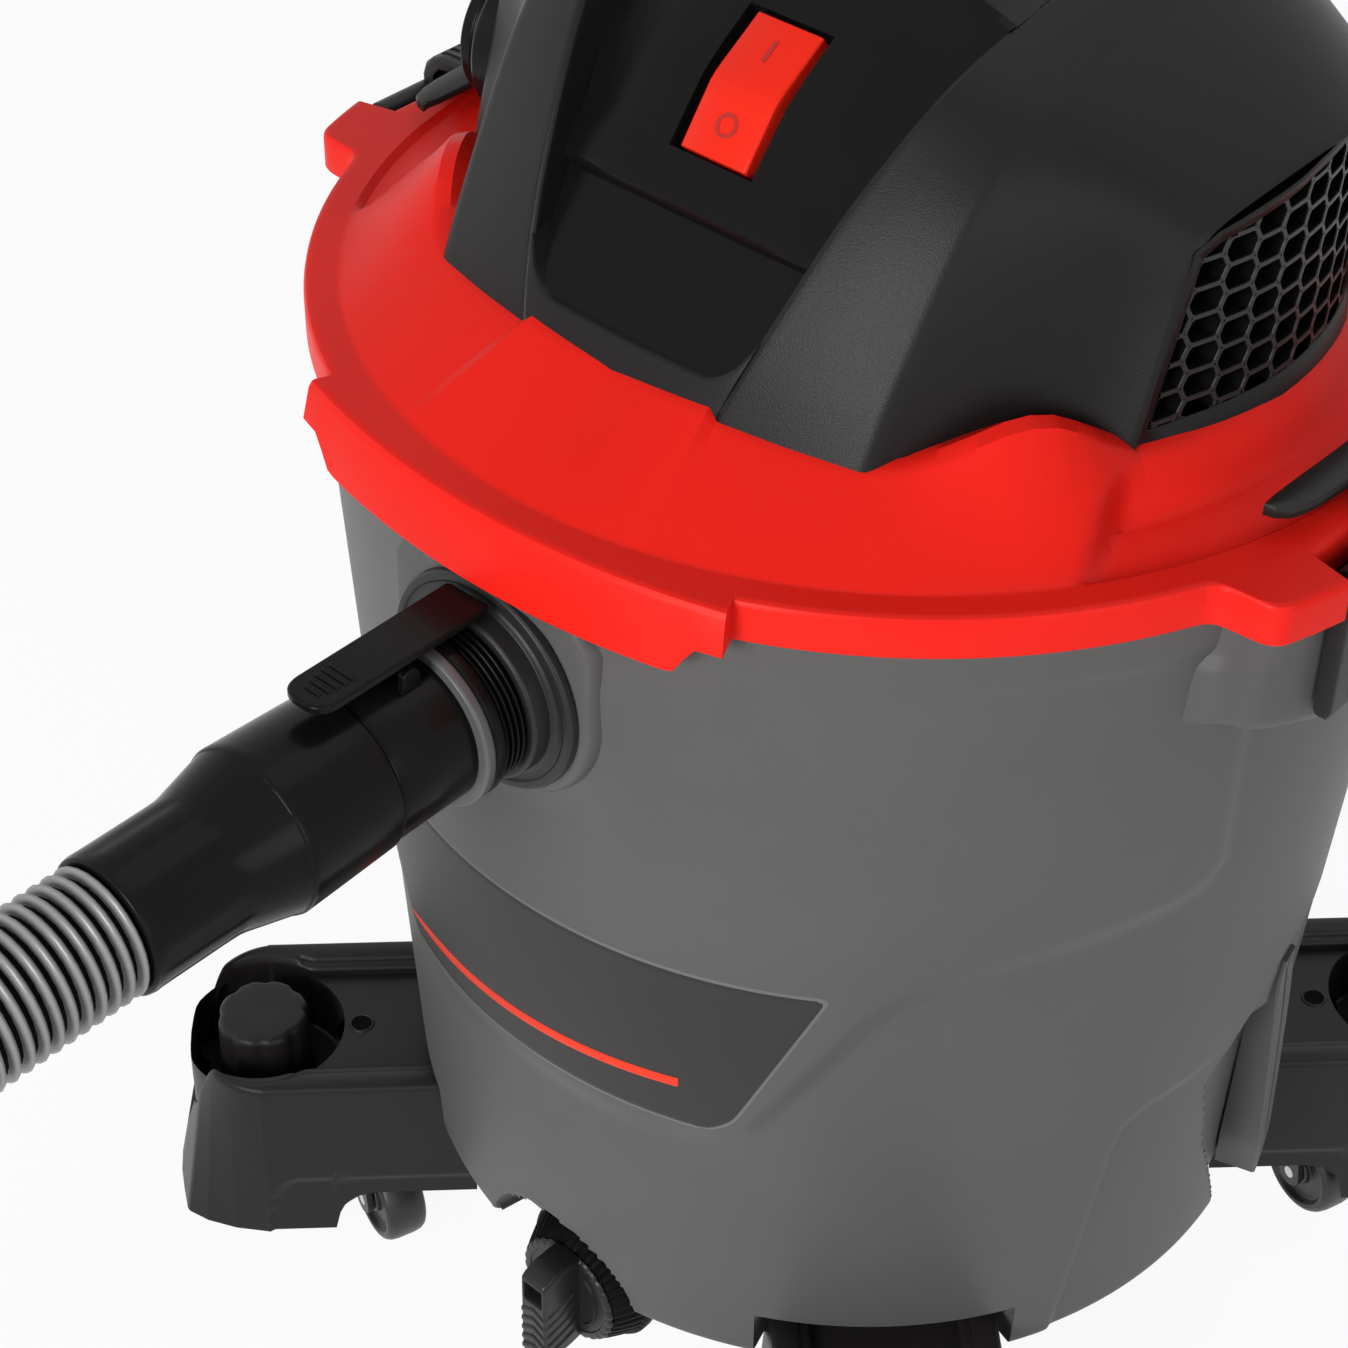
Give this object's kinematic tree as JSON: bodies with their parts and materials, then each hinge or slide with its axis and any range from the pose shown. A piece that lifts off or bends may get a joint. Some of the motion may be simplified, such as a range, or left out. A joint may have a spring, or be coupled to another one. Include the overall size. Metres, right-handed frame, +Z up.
{
  "type": "shop vacuum",
  "caption": "Wet and dry shop vacuum: tapered drum on caster arms, lift-off red lid with motor head, rocker switch, side latches, drain cap and ribbed suction hose.",
  "frame": {"origin": "on the floor under the drum's axis", "axes": "+Z up; -Y towards the hose inlet at the front; +X towards the grille side of the motor head"},
  "size_m": [0.5363, 1.4852, 0.7022],
  "materials": {
    "drum_grey": "satin moulded",
    "port_grey": "satin moulded",
    "black_plastic": "moulded",
    "arm_black": "fine texture",
    "rubber": "matte",
    "lid_red": "satin moulded",
    "steel": "plain",
    "iron": "laminated",
    "copper": "lacquered wire",
    "alloy": "plain",
    "cover_black": "fine texture",
    "gloss_black": "gloss moulded",
    "switch_red": "gloss moulded",
    "white_plastic": "moulded",
    "filter_paper": "pleated paper",
    "hose_grey": "ribbed"
  },
  "bodies": {
    "tub": {"drum": "drum_grey", "inlet_port": "port_grey", "inlet_deflector": "black_plastic", "caster_arm_front_right": "arm_black", "caster_arm_front_left": "arm_black", "caster_arm_rear_left": "arm_black", "caster_arm_rear_right": "arm_black"},
    "lid": {"blower_port": "black_plastic", "brush_holders": "black_plastic", "carry_handle": "gloss_black", "cord_gland": "black_plastic", "cover_screws": "steel", "fan_housing": "black_plastic", "field_coils": "copper", "filter_cage": "black_plastic", "filter_element": "filter_paper", "filter_end_rings": "rubber", "latch_pin_left": "steel", "latch_pin_right": "steel", "lid_collar": "lid_red", "lid_gasket": "rubber", "lower_bearing": "steel", "motor_cover": "cover_black", "motor_gasket": "rubber", "motor_housing": "black_plastic", "stator": "iron", "switch_body": "black_plastic", "switch_panel": "gloss_black", "upper_bearing": "steel", "vent_grille": "black_plastic"},
    "latch_right": {"latch_right": "black_plastic"},
    "latch_left": {"latch_left": "black_plastic"},
    "switch": {"power_switch": "switch_red"},
    "rotor": {"armature": "iron", "armature_winding": "copper", "commutator": "copper", "cooling_fan": "alloy", "impeller": "alloy"},
    "float": {"float_ball": "white_plastic"},
    "filter_nut": {"filter_nut": "black_plastic"},
    "drain_seal": {"drain_gasket": "rubber"},
    "drain_cap": {"drain_cap": "black_plastic"},
    "hose": {"hose_connector": "gloss_black", "hose_cuff": "gloss_black", "hose_run": "hose_grey", "hose_coil": "hose_grey", "hose_end_cuff": "gloss_black"},
    "lock_tab": {"hose_lock_tab": "black_plastic"},
    "caster_front_right": {"caster_fork_front_right": "black_plastic", "caster_axle_front_right": "steel"},
    "wheel_front_right": {"caster_wheel_front_right": "black_plastic"},
    "caster_front_left": {"caster_fork_front_left": "black_plastic", "caster_axle_front_left": "steel"},
    "wheel_front_left": {"caster_wheel_front_left": "black_plastic"},
    "caster_rear_left": {"caster_fork_rear_left": "black_plastic", "caster_axle_rear_left": "steel"},
    "wheel_rear_left": {"caster_wheel_rear_left": "black_plastic"},
    "caster_rear_right": {"caster_fork_rear_right": "black_plastic", "caster_axle_rear_right": "steel"},
    "wheel_rear_right": {"caster_wheel_rear_right": "black_plastic"}
  },
  "joints": [
    {"name": "lid_lift", "type": "slide", "parent": "tub", "child": "lid", "axis": [0, 0, 1], "range_m": [0, 0.3]},
    {"name": "latch_right_open", "type": "hinge", "parent": "lid", "child": "latch_right", "pos_m": [0.24, 0, 0.531], "axis": [0, -1, 0], "range_deg": [0, 15]},
    {"name": "latch_left_open", "type": "hinge", "parent": "lid", "child": "latch_left", "pos_m": [-0.24, 0, 0.531], "axis": [0, 1, 0], "range_deg": [0, 15]},
    {"name": "switch_rock", "type": "hinge", "parent": "lid", "child": "switch", "pos_m": [0, -0.0862, 0.6435], "axis": [-1, 0, 0], "range_deg": [0, 10]},
    {"name": "rotor_spin", "type": "hinge", "parent": "lid", "child": "rotor", "pos_m": [0, 0, 0.58], "axis": [0, 0, 1], "continuous": true},
    {"name": "float_rise", "type": "slide", "parent": "lid", "child": "float", "axis": [0, 0, 1], "range_m": [0, 0.115]},
    {"name": "filter_nut_turn", "type": "hinge", "parent": "lid", "child": "filter_nut", "pos_m": [0, 0, 0.315], "axis": [0, 0, 1], "range_deg": [0, 720]},
    {"name": "drain_back_off", "type": "slide", "parent": "tub", "child": "drain_seal", "axis": [0, -1, 0], "range_m": [0, 0.0081]},
    {"name": "drain_unscrew", "type": "hinge", "parent": "drain_seal", "child": "drain_cap", "pos_m": [0, -0.19, 0.086], "axis": [0, -1, 0], "range_deg": [0, 720]},
    {"name": "hose_pull", "type": "slide", "parent": "tub", "child": "hose", "axis": [0, -1, 0], "range_m": [0, 0.06]},
    {"name": "lock_tab_press", "type": "hinge", "parent": "hose", "child": "lock_tab", "pos_m": [0, -0.274, 0.497], "axis": [1, 0, 0], "range_deg": [0, 4], "stiffness_Nm_per_rad": 0.3},
    {"name": "swivel_front_right", "type": "hinge", "parent": "tub", "child": "caster_front_right", "pos_m": [0.16122, -0.16122, 0.085], "axis": [0, 0, 1], "continuous": true},
    {"name": "roll_front_right", "type": "hinge", "parent": "caster_front_right", "child": "wheel_front_right", "pos_m": [0.18018, -0.1676, 0.024], "axis": [0.319, 0.9478, 0], "continuous": true},
    {"name": "swivel_front_left", "type": "hinge", "parent": "tub", "child": "caster_front_left", "pos_m": [-0.16122, -0.16122, 0.085], "axis": [0, 0, 1], "continuous": true},
    {"name": "roll_front_left", "type": "hinge", "parent": "caster_front_left", "child": "wheel_front_left", "pos_m": [-0.14227, -0.1676, 0.024], "axis": [0.319, 0.9478, 0], "continuous": true},
    {"name": "swivel_rear_left", "type": "hinge", "parent": "tub", "child": "caster_rear_left", "pos_m": [-0.16122, 0.16122, 0.085], "axis": [0, 0, 1], "continuous": true},
    {"name": "roll_rear_left", "type": "hinge", "parent": "caster_rear_left", "child": "wheel_rear_left", "pos_m": [-0.14227, 0.15484, 0.024], "axis": [0.319, 0.9478, 0], "continuous": true},
    {"name": "swivel_rear_right", "type": "hinge", "parent": "tub", "child": "caster_rear_right", "pos_m": [0.16122, 0.16122, 0.085], "axis": [0, 0, 1], "continuous": true},
    {"name": "roll_rear_right", "type": "hinge", "parent": "caster_rear_right", "child": "wheel_rear_right", "pos_m": [0.18018, 0.15484, 0.024], "axis": [0.319, 0.9478, 0], "continuous": true}
  ],
  "couplings": [
    {"joint": "drain_back_off", "follows": "drain_unscrew", "m_per_rad": 0.000637}
  ]
}
